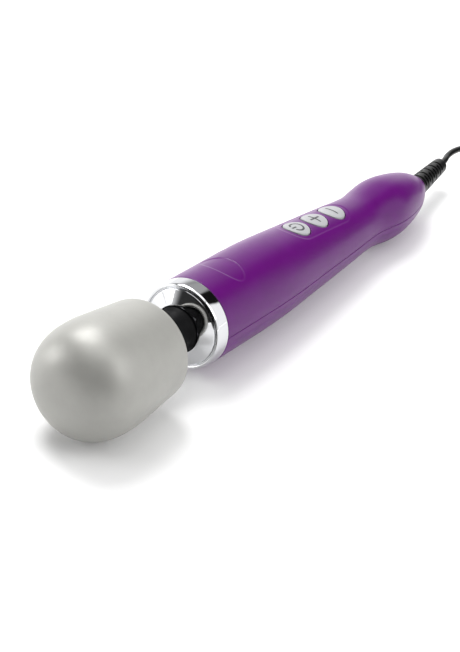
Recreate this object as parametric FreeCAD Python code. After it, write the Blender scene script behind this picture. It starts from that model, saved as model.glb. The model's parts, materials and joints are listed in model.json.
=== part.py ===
import FreeCAD, Part
import math
import os

# Corded wand massager, modelled lying along +Y with its head at the low Y end.
# Every solid is drawn in the wand's own axes (mm): the centreline is the Y axis, Y = 0 is the
# tip of the head, +Z is the side the buttons are on. The last step lays the wand down on its
# head and its tail bulge, so that Z = 0 is the surface it rests on.

os.makedirs("parts", exist_ok=True)
V = FreeCAD.Vector

# ---- head ----
HEAD_R = 30.0            # widest radius of the soft head
HEAD_NOSE = 29.0         # length of the rounded nose
HEAD_NOSE_POWER = 2.5    # 2 is a half sphere, more is blunter
HEAD_BELT = 4.0          # straight belt behind the nose
HEAD_REAR_R = 26.8       # radius just before the rear corner
HEAD_LEN = 70.6
HEAD_CORNER = 6.5
COVER_WALL = 3.0
CUP_WALL = 2.4
LIP_R, LIP_DEPTH = 23.6, 5.6   # the cover's rear opening shows the black bulkhead inside its rim

# ---- neck ----
NECK_PIVOT_Y = 82.5
NECK_R = 10.6            # rubber boot at its waist
NECK_BASE_R = 12.2       # where it meets the chrome collar
NECK_BASE_Y = 94.0
NECK_BORE_R = 8.8

# ---- collar and handle ----
COLLAR_FRONT_Y = 97.9
COLLAR_FRONT_R = 22.5
MOUTH_Y = 106.0          # chrome ends and the shells begin
MOUTH_R = 23.8
WALL = 2.5
# handle outline: (Y, radius) at the mouth, along the belly, at the waist, tail bulge and tail end
OUTLINE = [(MOUTH_Y, MOUTH_R), (136, 23.8), (168, 23.4), (202, 21.3), (232, 19.3), (256, 17.55),
           (275, 16.7), (298, 18.9), (317, 17.0), (334, 12.4), (344.5, 7.4)]
BULGE_Y, BULGE_R = 298.0, 18.9

# ---- buttons ----
BUTTON_YS = {"power": 202.7, "plus": 221.6, "minus": 240.5}
BUTTON_R = 7.9
BUTTON_GAP = 0.3
BUTTON_PROUD = 0.1
BUTTON_FLANGE_R = 9.2
BUTTON_TRAVEL = 0.6
PANEL_HALF_X = 10.4
PANEL_Y = (191.5, 251.5)
PANEL_DEPTH = 0.4
BADGE_Y, BADGE_HALF_X, BADGE_HALF_Y = 131.0, 13.0, 7.5

# ---- drive ----
SHAFT_R = 3.0            # eccentric shaft
BEARING_R, BEARING_W = 9.5, 6.0
BEARING_FRONT_Y, BEARING_REAR_Y = 11.0, 60.0
WEIGHT_Y = (24.0, 54.0)
WEIGHT_R = 19.0
MOTOR_R = 18.0
MOTOR_Y = (112.0, 168.0)
MOTOR_SHAFT_R = 2.5
SPRING_R, SPRING_BORE_R = 3.4, 2.0
RUN_FIT = 0.05           # radial clearance of a shaft in a plain bush
BALL_FIT = 0.02          # and in a ball bearing
MOUNT_BANDS = [(115.0, 122.0), (156.0, 163.0)]
MOUNT_R = 20.0

# ---- control board ----
BOARD_Y = (188.0, 262.0)
BOARD_HALF_X = 11.0
BOARD_TOP_Z = 5.0
BOARD_T = 1.6
SWITCH_SIDE, SWITCH_H = 6.0, 3.5
PLUNGER_R = 1.6
PLUNGER_TOP_Z = BOARD_TOP_Z + SWITCH_H + 0.9

# ---- screws: (X, Y) of the four that hold the shells ----
SHELL_SCREWS = [(14.0, 182.0), (-14.0, 182.0), (8.6, 276.0), (-8.6, 276.0)]
SCREW_R, SCREW_HEAD_R, SCREW_HEAD_T = 1.4, 2.8, 1.6
BOSS_AT_R, BOSS_FRONT_Y = 15.2, 56.0   # four pillars in the head cup for the bulkhead screws

# ---- cord ----
CORD_R = 1.9
RELIEF_START_Y = 345.0
RELIEF_R, RELIEF_TIP_R = 6.6, 4.4
RELIEF_BEND_DEG = 7.5    # the relief leans towards -X as the cord pulls it
RELIEF_END = 43.5        # how far it stands out of the tail
RELIEF_RIBS = 9
CLAMP_Y = (305.0, 313.0)
COIL_ROWS, COIL_LAYERS = 3, 4
COIL_MID_R = 21.0        # radius at the middle of the turns
COIL_X, COIL_Y = 10.0, 280.0   # in the laid-down frame, beyond the tail
PLUG_Y = 345.0
TIE_T = 0.6
PLUG_BARREL_R, PLUG_BARREL_LEN, PLUG_PIN_R, PLUG_TANG_R = 2.75, 9.5, 1.05, 2.2
PLUG_GRIP_R, PLUG_GRIP_LEN = 5.2, 26.0


def spin(points):
    """Solid of revolution about the Y axis of a closed outline of (Y, radius) corners."""
    wire = Part.makePolygon([V(r, y, 0) for y, r in points + points[:1]])
    return Part.Face(wire).revolve(V(0, 0, 0), V(0, 1, 0), 360)


def tube(y0, y1, r_out, r_in=0.0):
    """Straight cylinder or sleeve along Y."""
    solid = Part.makeCylinder(r_out, y1 - y0, V(0, y0, 0), V(0, 1, 0))
    if r_in > 0:
        solid = solid.cut(Part.makeCylinder(r_in, y1 - y0, V(0, y0, 0), V(0, 1, 0)))
    return solid


def box(x0, x1, y0, y1, z0, z1):
    return Part.makeBox(x1 - x0, y1 - y0, z1 - z0, V(x0, y0, z0))


def post(x, y, z0, z1, r):
    """Upright cylinder."""
    return Part.makeCylinder(r, z1 - z0, V(x, y, z0), V(0, 0, 1))


def fuse(shapes):
    whole = shapes[0].multiFuse(shapes[1:]) if len(shapes) > 1 else shapes[0]
    return whole.removeSplitter()


def smooth(points):
    """Smooth edge through (Y, radius) points in the XY plane."""
    curve = Part.BSplineCurve()
    curve.interpolate([V(r, y, 0) for y, r in points])
    return curve.toShape()


def line(a, b):
    return Part.makeLine(V(a[1], a[0], 0), V(b[1], b[0], 0))


def spin_edges(edges):
    face = Part.Face(Part.Wire(Part.__sortEdges__(edges)))
    return face.revolve(V(0, 0, 0), V(0, 1, 0), 360)


def handle_solid(offset):
    """Solid inside the handle outline, moved out (or in, if negative) by an offset."""
    points = [(y, r + offset) for y, r in OUTLINE]
    first, last = points[0], points[-1]
    return spin_edges([smooth(points), line((first[0], 0), first), line(last, (last[0], 0)),
                       line((last[0], 0), (first[0], 0))])


def handle_radius(y):
    """Radius of the handle at a station, read from its own outline curve."""
    edge = smooth(OUTLINE)
    cut = edge.section(Part.makeLine(V(0, y, 0), V(60, y, 0)))
    return cut.Vertexes[0].X


def head_solid(offset):
    """Solid of the head's outer shape, shrunk all round by an offset."""
    nose = []
    for i in range(9):
        s = math.sin(math.pi / 2 * i / 8)
        r = (HEAD_R - offset) * s
        along = (1 - s ** HEAD_NOSE_POWER) ** (1 / HEAD_NOSE_POWER)
        nose.append((offset + (HEAD_NOSE - offset) * (1 - along), r))
    belt_end = (HEAD_NOSE + HEAD_BELT, HEAD_R - offset)
    rear_y, rear_r = HEAD_LEN - offset, HEAD_REAR_R - offset
    corner = max(HEAD_CORNER - offset, 1.0)
    c = (rear_y - corner, rear_r - corner)
    lean = math.radians(5.5)
    tangent = (c[0] + corner * math.sin(lean), c[1] + corner * math.cos(lean))
    mid = (c[0] + corner * math.sin(math.radians(48)), c[1] + corner * math.cos(math.radians(48)))
    arc = Part.Arc(V(tangent[1], tangent[0], 0), V(mid[1], mid[0], 0), V(c[1], rear_y, 0)).toShape()
    return spin_edges([smooth(nose), line(nose[-1], belt_end), line(belt_end, tangent), arc,
                       line((rear_y, c[1]), (rear_y, 0)), line((rear_y, 0), nose[0])])


def route_wire(points):
    """Straight runs joined by tangent arcs through a list of points."""
    pts = [V(*p) for p in points]
    edges, here = [], pts[0]
    for a, b, c in zip(pts, pts[1:], pts[2:]):
        u, w = (b - a).normalize(), (c - b).normalize()
        half = u.getAngle(w) / 2
        radius = 0.45 * min((b - a).Length, (c - b).Length) / math.tan(half)
        back = radius * math.tan(half)
        start, end = b - u * back, b + w * back
        inward = (w - u).normalize()
        middle = b + inward * (radius / math.cos(half) - radius)
        edges += [Part.makeLine(here, start), Part.Arc(start, middle, end).toShape()]
        here = end
    edges.append(Part.makeLine(here, pts[-1]))
    return Part.Wire(edges)


def round_tube(wire, r):
    """Round cord or wire swept along a route."""
    start = wire.Edges[0]
    p = start.valueAt(start.FirstParameter)
    ring = Part.Wire([Part.makeCircle(r, p, start.tangentAt(start.FirstParameter))])
    return wire.makePipeShell([ring], True, False)


def bend_route(y0, reach):
    """Centreline from inside the tail, bent at the relief's root, out to a reach beyond it."""
    lean = math.radians(RELIEF_BEND_DEG)
    root = RELIEF_START_Y
    return [(0, y0, 0), (0, root, 0), (-reach * math.sin(lean), root + reach * math.cos(lean), 0)]


parts = {}

# ---------------------------------------------------------------- head
head_outer = head_solid(0)
cup_outer = head_solid(COVER_WALL)
cup_inner = head_solid(COVER_WALL + CUP_WALL)
rear_face = HEAD_LEN - COVER_WALL
cover = head_outer.cut(cup_outer).cut(tube(HEAD_LEN - LIP_DEPTH, HEAD_LEN + 1, LIP_R))
parts["head_cover"] = cover

bulkhead_y = 62.0
cup = cup_outer.cut(cup_inner).cut(tube(bulkhead_y, HEAD_LEN, HEAD_R))
boss_end = BEARING_FRONT_Y + BEARING_W
boss = tube(4.0, boss_end, BEARING_R + 2.5).common(cup_outer)
boss = boss.cut(tube(BEARING_FRONT_Y, boss_end, BEARING_R)).cut(tube(7.0, BEARING_FRONT_Y, 5.5))
cup_bosses = []
bulkhead_screws = []
for spot in range(4):
    turn = 45 + 90 * spot
    pillar = fuse([tube(BOSS_FRONT_Y, bulkhead_y, 3.0).translated(V(BOSS_AT_R, 0, 0)),
                   box(BOSS_AT_R, 23.0, BOSS_FRONT_Y, bulkhead_y, -1.5, 1.5)]).common(cup_outer)
    hole = tube(BOSS_FRONT_Y - 1, HEAD_LEN, SCREW_R).translated(V(BOSS_AT_R, 0, 0))
    seat = tube(rear_face - SCREW_HEAD_T, HEAD_LEN, SCREW_HEAD_R + 0.1).translated(V(BOSS_AT_R, 0, 0))
    shank = tube(BOSS_FRONT_Y + 0.5, rear_face - SCREW_HEAD_T, SCREW_R)
    head = tube(rear_face - SCREW_HEAD_T, rear_face - 0.2, SCREW_HEAD_R)
    slot = box(-SCREW_HEAD_R, SCREW_HEAD_R, rear_face - 0.9, rear_face, -0.35, 0.35)
    screw = fuse([shank, head]).cut(slot).translated(V(BOSS_AT_R, 0, 0))
    for shape in (pillar, hole, seat, screw):
        shape.rotate(V(0, 0, 0), V(0, 1, 0), turn)
    cup_bosses.append(pillar.cut(hole))
    bulkhead_screws.append((screw, fuse([hole, seat])))
cup = fuse([cup.cut(tube(4.0, boss_end, BEARING_R + 2.5)), boss] + cup_bosses)
parts["head_cup"] = cup

spigot_end = 78.0
hub_y = BEARING_REAR_Y - 1.5
bulkhead = fuse([cup_outer.common(tube(bulkhead_y, rear_face, HEAD_R)),
                 tube(hub_y, bulkhead_y, BEARING_R + 2.5), tube(rear_face, spigot_end, NECK_BORE_R)])
bulkhead = bulkhead.cut(tube(hub_y, BEARING_REAR_Y + BEARING_W, BEARING_R))
bulkhead = bulkhead.cut(tube(hub_y, spigot_end, 7.0))
for screw, hole in bulkhead_screws:
    bulkhead = bulkhead.cut(hole)
parts["head_bulkhead"] = bulkhead
parts["bulkhead_screws"] = Part.makeCompound([screw for screw, hole in bulkhead_screws])
parts["bearing_front"] = tube(BEARING_FRONT_Y, boss_end, BEARING_R, SHAFT_R + BALL_FIT)
parts["bearing_rear"] = tube(BEARING_REAR_Y, BEARING_REAR_Y + BEARING_W, BEARING_R, SHAFT_R + BALL_FIT)

# ---------------------------------------------------------------- eccentric drive in the head
shaft_end = 74.0
parts["eccentric_shaft"] = tube(BEARING_FRONT_Y, shaft_end, SHAFT_R)
weight = tube(WEIGHT_Y[0], WEIGHT_Y[1], WEIGHT_R)
weight = weight.common(box(-WEIGHT_R, WEIGHT_R, WEIGHT_Y[0], WEIGHT_Y[1], -WEIGHT_R, 0))
weight = fuse([weight, tube(WEIGHT_Y[0], WEIGHT_Y[1], 7.0)]).cut(tube(WEIGHT_Y[0], WEIGHT_Y[1], SHAFT_R))
weight_mid = sum(WEIGHT_Y) / 2
parts["eccentric_weight"] = weight.cut(post(0, weight_mid, 0, 8, 2.0))
parts["weight_screw"] = post(0, weight_mid, SHAFT_R, 6.6, 2.0).cut(post(0, weight_mid, 5.0, 7, 1.0))
head_sleeve = tube(68.0, 80.0, 5.5).cut(tube(68.0, shaft_end, SHAFT_R))
parts["head_coupling"] = head_sleeve.cut(tube(shaft_end, 80.0, SPRING_R + RUN_FIT))

# ---------------------------------------------------------------- neck
SOCKET_FRONT_Y, SOCKET_DISC_Y = 86.5, 98.6
boot_bore = NECK_BORE_R + RUN_FIT
boot = spin([(rear_face + RUN_FIT, boot_bore), (rear_face + RUN_FIT, 11.6), (72, 11.2), (77, NECK_R),
             (88, NECK_R), (91.5, 11.0), (NECK_BASE_Y - 0.6, NECK_BASE_R), (96.05, NECK_BASE_R),
             (96.05, 15.2), (SOCKET_DISC_Y - RUN_FIT, 15.2), (SOCKET_DISC_Y - RUN_FIT, boot_bore)])
parts["neck_boot"] = boot
parts["neck_ring"] = tube(NECK_PIVOT_Y - 1.5, NECK_PIVOT_Y + 1.5, NECK_BORE_R, 7.2)
parts["drive_spring"] = tube(shaft_end + 0.5, 95.5, SPRING_R, SPRING_BORE_R)
socket = spin([(SOCKET_FRONT_Y, 7.0), (SOCKET_FRONT_Y, NECK_BORE_R), (SOCKET_DISC_Y, NECK_BORE_R),
               (SOCKET_DISC_Y, 19.5), (114.0, 19.5), (114.0, 18.3), (102.0, 18.3), (102.0, 7.0)])
parts["neck_socket"] = socket

# ---------------------------------------------------------------- chrome collar
parts["collar_ring"] = spin([
    (MOUTH_Y, MOUTH_R), (99.0, 23.05), (98.2, 22.85), (COLLAR_FRONT_Y, COLLAR_FRONT_R),
    (COLLAR_FRONT_Y, 21.5), (98.7, 21.3), (98.7, 20.8), (97.8, 20.5), (94.6, 13.6), (94.4, 12.9),
    (94.8, NECK_BASE_R + 0.3), (96.0, NECK_BASE_R + 0.3), (96.0, 15.3), (98.3, 15.6), (98.5, 19.6),
    (111.0, 19.6), (111.0, 21.0), (MOUTH_Y, 21.0)])

# ---------------------------------------------------------------- shells
cavity_end = 329.0
shell = handle_solid(0).cut(handle_solid(-WALL).cut(tube(cavity_end, 360, HEAD_R)))
for y0, y1 in MOUNT_BANDS:
    shell = fuse([shell, tube(y0 - 1, y1 + 1, MOUNT_R + 1.6, MOUNT_R)])
    shell = shell.cut(tube(y0, y1, MOUNT_R + 0.4))
anchor = (331.0, 334.0)
shell = shell.cut(tube(cavity_end - 1, 350, RELIEF_R + 0.05))
shell = shell.cut(tube(anchor[0] - 0.1, anchor[1] + 0.1, RELIEF_R + 2.1))

top = shell.common(box(-40, 40, 0, 400, 0, 40))
bottom = shell.common(box(-40, 40, 0, 400, -40, 0))

skin = handle_solid(1.0).cut(handle_solid(-PANEL_DEPTH))
panel_end = PANEL_Y[0] + PANEL_HALF_X, PANEL_Y[1] - PANEL_HALF_X
panel = fuse([box(-PANEL_HALF_X, PANEL_HALF_X, panel_end[0], panel_end[1], 5, 30),
              post(0, panel_end[0], 5, 30, PANEL_HALF_X), post(0, panel_end[1], 5, 30, PANEL_HALF_X)])
badge_edge = Part.Ellipse(V(0, BADGE_Y, 10), BADGE_HALF_X, BADGE_HALF_Y).toShape()
badge = Part.Face(Part.Wire([badge_edge])).extrude(V(0, 0, 20))
top = top.cut(skin.common(panel)).cut(skin.common(badge))

inside = handle_solid(-WALL + 0.5)
bosses_top, bosses_bottom, screws = [], [], []
for x, y in SHELL_SCREWS:
    outer_z = -math.sqrt(handle_radius(y) ** 2 - x ** 2)
    seat_z = outer_z + 4.5
    bosses_top.append(post(x, y, 0, 30, 3.0).cut(post(x, y, -1, 7.0, SCREW_R)).common(inside))
    bosses_bottom.append(post(x, y, -30, 0, 4.2).common(inside))
    bottom = bottom.cut(post(x, y, -30, seat_z, SCREW_HEAD_R + 0.3))
    shank = post(x, y, seat_z, 6.0, SCREW_R)
    head = post(x, y, seat_z - SCREW_HEAD_T, seat_z, SCREW_HEAD_R)
    cross = fuse([box(x - 1.7, x + 1.7, y - 0.35, y + 0.35, seat_z - 2, seat_z - 0.7),
                  box(x - 0.35, x + 0.35, y - 1.7, y + 1.7, seat_z - 2, seat_z - 0.7)])
    screws.append(fuse([shank, head]).cut(cross))
top = fuse([top] + bosses_top)
bottom = fuse([bottom] + bosses_bottom)
for x, y in SHELL_SCREWS:
    seat_z = -math.sqrt(handle_radius(y) ** 2 - x ** 2) + 4.5
    bottom = bottom.cut(post(x, y, -30, seat_z, SCREW_HEAD_R + 0.3)).cut(post(x, y, -30, 1, SCREW_R + 0.1))
parts["shell_screws"] = Part.makeCompound(screws)

clamp_mid = sum(CLAMP_Y) / 2
saddle_z = -CORD_R - 0.05
saddle = box(-8.5, 8.5, CLAMP_Y[0], CLAMP_Y[1], -25, saddle_z).common(inside)
clamp = box(-8.5, 8.5, CLAMP_Y[0], CLAMP_Y[1], -saddle_z, 5.0)
clamp_screws = []
for x in (-5.6, 5.6):
    saddle = saddle.cut(post(x, clamp_mid, -9.0, 0, SCREW_R))
    clamp = clamp.cut(post(x, clamp_mid, 0, 6, SCREW_R + 0.1))
    clamp_screws.append(fuse([post(x, clamp_mid, -8.5, 5.0, SCREW_R),
                              post(x, clamp_mid, 5.0, 6.6, SCREW_HEAD_R)]))
parts["cord_clamp"] = clamp
parts["clamp_screws"] = Part.makeCompound(clamp_screws)
bottom = fuse([bottom, saddle])

# ---------------------------------------------------------------- buttons
for name, y in BUTTON_YS.items():
    top = top.cut(post(0, y, 5, 40, BUTTON_R + BUTTON_GAP))
    inner_r = handle_radius(y + BUTTON_FLANGE_R) - WALL
    flange_z = math.sqrt(inner_r ** 2 - BUTTON_FLANGE_R ** 2) - 0.3
    cap_top = handle_solid(BUTTON_PROUD)
    cap = post(0, y, flange_z - 0.5, 30, BUTTON_R).common(cap_top)
    cap = fuse([cap, post(0, y, flange_z - 1.0, flange_z, BUTTON_FLANGE_R),
                post(0, y, PLUNGER_TOP_Z, flange_z - 0.5, 2.2)])
    if name == "power":
        ring = post(0, y, 5, 30, 4.3).cut(post(0, y, 5, 30, 3.5)).cut(box(-1.6, 1.6, y - 6, y, 5, 30))
        sign = fuse([ring, box(-0.4, 0.4, y - 4.6, y - 0.6, 5, 30)])
    else:
        sign = box(-4.2, 4.2, y - 0.45, y + 0.45, 5, 30)
        if name == "plus":
            sign = fuse([sign, box(-0.45, 0.45, y - 4.2, y + 4.2, 5, 30)])
    inlay = sign.common(cap_top.cut(handle_solid(BUTTON_PROUD - 0.3)))
    parts[name + "_button"] = cap.cut(inlay)
    parts[name + "_symbol"] = inlay
    parts[name + "_plunger"] = post(0, y, PLUNGER_TOP_Z - 2.0, PLUNGER_TOP_Z, PLUNGER_R)
parts["shell_top"] = top
parts["shell_bottom"] = bottom

# ---------------------------------------------------------------- motor
can = tube(MOTOR_Y[0], MOTOR_Y[1], MOTOR_R).cut(tube(MOTOR_Y[0] + 2, MOTOR_Y[1], MOTOR_R - 1.5))
can = fuse([can, tube(108.5, MOTOR_Y[0], 6.5)]).cut(tube(108, 115, 5.0))
parts["motor_can"] = can
parts["motor_bush_front"] = tube(108.5, 114.0, 5.0, MOTOR_SHAFT_R + RUN_FIT)
magnets = []
for turn in (0, 180):
    arc = tube(122, 158, MOTOR_R - 1.55, 13.4).common(box(4.0, 20, 120, 160, -20, 20))
    arc.rotate(V(0, 0, 0), V(0, 1, 0), turn)
    magnets.append(arc)
parts["motor_magnets"] = Part.makeCompound(magnets)
endbell = fuse([tube(MOTOR_Y[1], 172.0, MOTOR_R), tube(MOTOR_Y[1] - 3, MOTOR_Y[1], MOTOR_R - 1.6, 14.5),
                tube(172.0, 175.0, 7.0)]).cut(tube(160, 176, 5.0))
brushes, boxes = [], []
for side in (-1, 1):
    x0, x1 = sorted((side * 5.6, side * 11.5))
    brushes.append(box(x0, x1, 162.6, 166.4, -2.0, 2.0).cut(tube(160, 170, 5.55)))
    x0, x1 = sorted((side * 7.5, side * 15.5))
    boxes.append(box(x0, x1, 161.8, MOTOR_Y[1], -2.8, 2.8).cut(box(x0, x1, 162.5, 166.5, -2.1, 2.1)))
parts["motor_brushes"] = Part.makeCompound(brushes)
parts["motor_end_bell"] = fuse([endbell] + boxes)
parts["motor_bush_rear"] = tube(169.5, 175.0, 5.0, MOTOR_SHAFT_R + RUN_FIT)
mounts = [tube(y0 + 0.1, y1 - 0.1, MOUNT_R + 0.3, MOTOR_R + 0.05) for y0, y1 in MOUNT_BANDS]
parts["motor_mount_front"], parts["motor_mount_rear"] = mounts

parts["motor_shaft"] = tube(96.0, 175.5, MOTOR_SHAFT_R)
core = tube(124, 156, 12.8, MOTOR_SHAFT_R)
coils = [tube(119.5, 124, 11.2, MOTOR_SHAFT_R + 0.5), tube(156, 160.5, 11.2, MOTOR_SHAFT_R + 0.5)]
for i in range(5):
    slot = box(6.5, 14, 124, 156, -1.8, 1.8)
    fill = box(6.5, 11.2, 124, 156, -1.8, 1.8)
    for shape in (slot, fill):
        shape.rotate(V(0, 0, 0), V(0, 1, 0), 72 * i)
    core = core.cut(slot)
    coils.append(fill)
parts["armature_core"] = core
parts["armature_windings"] = fuse(coils)
parts["commutator"] = tube(161.5, 167.5, 5.5, MOTOR_SHAFT_R)
coupling_bores = fuse([tube(89.5, 95.5, SPRING_R), tube(95.5, 102.0, MOTOR_SHAFT_R)])
parts["motor_coupling"] = tube(89.5, 102.0, 5.5).cut(coupling_bores)

# ---------------------------------------------------------------- control board
board_z = BOARD_TOP_Z - BOARD_T
board = box(-BOARD_HALF_X, BOARD_HALF_X, BOARD_Y[0], BOARD_Y[1], board_z, BOARD_TOP_Z)
parts["control_board"] = board
for x0, x1 in ((-11.0, -8.6), (8.6, 11.0)):
    rib = box(x0, x1, BOARD_Y[0] + 8, BOARD_Y[1] - 8, -30, board_z).common(inside)
    parts["shell_bottom"] = fuse([parts["shell_bottom"], rib])
switches = []
for y in BUTTON_YS.values():
    half = SWITCH_SIDE / 2
    body = box(-half, half, y - half, y + half, BOARD_TOP_Z, BOARD_TOP_Z + SWITCH_H)
    switches.append(body.cut(post(0, y, PLUNGER_TOP_Z - 2.8, 20, PLUNGER_R + 0.25)))
parts["switch_bodies"] = Part.makeCompound(switches)
parts["board_capacitor"] = tube(228, 244, 4.0).translated(V(0, 0, board_z - 4.0))
parts["driver_chip"] = box(-4, 4, 204, 213, board_z - 1.6, board_z)
parts["wire_terminal"] = box(-6, 6, 250, 260, board_z - 6.0, board_z)
parts["motor_terminal"] = box(-6, 6, 189, 196, board_z - 6.0, board_z)

# ---------------------------------------------------------------- wiring inside the handle
def wire_pair(points, r, gap):
    """Two insulated wires side by side, one each side of the X = 0 plane."""
    return Part.makeCompound([round_tube(route_wire([(x + side * gap, y, z) for x, y, z in points]), r)
                              for side in (-1, 1)])


parts["supply_wires"] = wire_pair([(0, CLAMP_Y[0] - 5, 0), (0, 284, -1.0), (0, 268, 0.8), (0, 260, 0.4)],
                                  0.85, 0.95)
parts["motor_wires"] = wire_pair([(0, 172.05, 9.0), (0, 178, 8.6), (0, 184, 3.5), (0, 189, 0.4)], 0.8, 1.6)

# ---------------------------------------------------------------- strain relief and the cord in it
lean = math.radians(RELIEF_BEND_DEG)
inner_route = route_wire(bend_route(CLAMP_Y[0] - 5, RELIEF_END))
lead = round_tube(inner_route, CORD_R)
parts["cord_lead"] = lead
relief = fuse([tube(anchor[0], anchor[1], RELIEF_R + 2.0), tube(anchor[1], RELIEF_START_Y + 1.0, RELIEF_R)])
sleeve_len = RELIEF_END - 0.3
slope = (RELIEF_R - RELIEF_TIP_R) / sleeve_len
outline = [(0, 0), (0, RELIEF_R)]
pitch = (sleeve_len - 9.0) / RELIEF_RIBS
for rib in range(RELIEF_RIBS):
    y = 2.6 + rib * pitch
    r = RELIEF_R - slope * y
    outline += [(y, r), (y + 0.45, r - 0.8), (y + 1.15, r - 0.8), (y + 1.6, r)]
outline += [(sleeve_len - 2.2, RELIEF_TIP_R + 0.3), (sleeve_len - 0.7, RELIEF_TIP_R - 0.5),
            (sleeve_len, RELIEF_TIP_R - 1.7), (sleeve_len, 0)]
sleeve = spin(outline)
sleeve.rotate(V(0, 0, 0), V(0, 0, 1), RELIEF_BEND_DEG)
sleeve.translate(V(0, RELIEF_START_Y, 0))
parts["strain_relief"] = fuse([relief, sleeve]).cut(lead)

# ---------------------------------------------------------------- lay the wand down
tilt = math.atan2(HEAD_R - BULGE_R, BULGE_Y - (HEAD_NOSE + HEAD_BELT / 2))
matrix = FreeCAD.Matrix()
matrix.rotateX(-tilt)


def laid(shape):
    return shape.transformed(matrix)


def extent(shapes):
    """Lowest and highest corner of some shapes, read from fine facets."""
    points = [p for shape in shapes for p in shape.tessellate(0.02)[0]]
    return [(min(p[i] for p in points), max(p[i] for p in points)) for i in range(3)]


outer_pieces = [laid(parts[name]) for name in ("head_cover", "shell_bottom", "strain_relief")]
(x0, x1), (y0, y1), (z0, z1) = extent(outer_pieces)
matrix.move(V(0, -(y0 + y1) / 2, -z0))
for name in parts:
    parts[name] = laid(parts[name])


def laid_point(p):
    return matrix.multVec(V(*p))


# ---------------------------------------------------------------- free cord, coil and plug, on the surface
tip = laid_point((-RELIEF_END * math.sin(lean), RELIEF_START_Y + RELIEF_END * math.cos(lean), 0))
root = laid_point((0, RELIEF_START_Y, 0))
out = (tip - root).normalize()
coil_base = TIE_T + 0.2
first_z = coil_base + CORD_R
top_z = first_z + (COIL_LAYERS - 1) * 2 * CORD_R
ring_r = COIL_MID_R + (COIL_ROWS - 1) * CORD_R        # centreline of the outermost turns
side_x = COIL_X - ring_r
leave = tip + out * 9

free_route = route_wire([tuple(tip), tuple(leave), (-10.4, 211.7, 15.2), (-11.4, 223.7, 14.0),
                         (-12.2, 237.2, 10.4), (-13.4, 250.7, 5.2), (-15.2, 263.7, first_z),
                         (side_x, COIL_Y - 5.0, first_z)])
tail_route = route_wire([(side_x, COIL_Y + 5.0, top_z), (side_x, COIL_Y + 14.0, top_z - 0.3),
                         (-15.2, COIL_Y + 25.0, 9.4), (-15.4, COIL_Y + 36.0, 3.8),
                         (-15.0, COIL_Y + 47.0, CORD_R + 0.1), (-14.4, COIL_Y + 58.0, 4.0),
                         (-14.0, PLUG_Y, PLUG_GRIP_R)])
parts["supply_cord"] = round_tube(free_route, CORD_R)
parts["cord_tail"] = round_tube(tail_route, CORD_R)

half = COIL_ROWS * CORD_R
height = COIL_LAYERS * 2 * CORD_R
section = [(COIL_MID_R - half, coil_base + 1), (COIL_MID_R - half + 1, coil_base),
           (COIL_MID_R + half - 1, coil_base), (COIL_MID_R + half, coil_base + 1),
           (COIL_MID_R + half, coil_base + height - 1), (COIL_MID_R + half - 1, coil_base + height),
           (COIL_MID_R - half + 1, coil_base + height), (COIL_MID_R - half, coil_base + height - 1)]
face = Part.Face(Part.makePolygon([V(x, 0, z) for x, z in section + section[:1]]))
parts["cord_coil"] = face.revolve(V(0, 0, 0), V(0, 0, 1), 360).translated(V(COIL_X, COIL_Y, 0))

gap, side_gap = 0.1, 0.4        # wider at the sides, because the turns curve within the tie's width
inner = box(COIL_MID_R - half - side_gap, COIL_MID_R + half + side_gap, -3, 3,
            coil_base - gap, coil_base + height + gap)
outer = box(COIL_MID_R - half - side_gap - TIE_T, COIL_MID_R + half + side_gap + TIE_T, -2.5, 2.5,
            coil_base - gap - TIE_T, coil_base + height + gap + TIE_T)
parts["coil_tie"] = outer.cut(inner).translated(V(COIL_X, COIL_Y, 0))

grip = spin([(0, 0), (0, 2.8), (7, 3.3), (9, PLUG_GRIP_R), (PLUG_GRIP_LEN - 1, PLUG_GRIP_R),
             (PLUG_GRIP_LEN, PLUG_GRIP_R - 1), (PLUG_GRIP_LEN, 0)])
barrel_end = PLUG_GRIP_LEN + PLUG_BARREL_LEN
barrel = fuse([tube(PLUG_GRIP_LEN - 4, PLUG_GRIP_LEN, PLUG_TANG_R),
               tube(PLUG_GRIP_LEN, barrel_end, PLUG_BARREL_R)])
bore = tube(PLUG_GRIP_LEN, barrel_end, PLUG_PIN_R)
grip = grip.cut(barrel).translated(V(-14.0, PLUG_Y, PLUG_GRIP_R))
parts["plug_grip"] = grip.cut(parts["cord_tail"])
parts["plug_barrel"] = barrel.cut(bore).translated(V(-14.0, PLUG_Y, PLUG_GRIP_R))

# a cord swept along its route has the volume of its section times its length
for name, route in (("cord_lead", inner_route), ("supply_cord", free_route), ("cord_tail", tail_route)):
    radii = [e.Curve.Radius for e in route.Edges if hasattr(e.Curve, "Radius")]
    share = parts[name].Volume / (math.pi * CORD_R ** 2 * route.Length)
    print(f"{name}: length {route.Length:.1f}, tightest arc {min(radii):.1f}, volume share {share:.4f}")

for name, shape in parts.items():
    if not shape.isValid():
        print("not valid:", name)
    shape.exportStep("parts/" + name + ".step")
print(f"{len(parts)} nodes, tilt {math.degrees(tilt):.4f} degrees, moved {-(y0 + y1) / 2:.4f}, {-z0:.4f}")
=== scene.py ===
import json
import math

import bmesh
import bpy
from mathutils import Matrix, Vector


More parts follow.
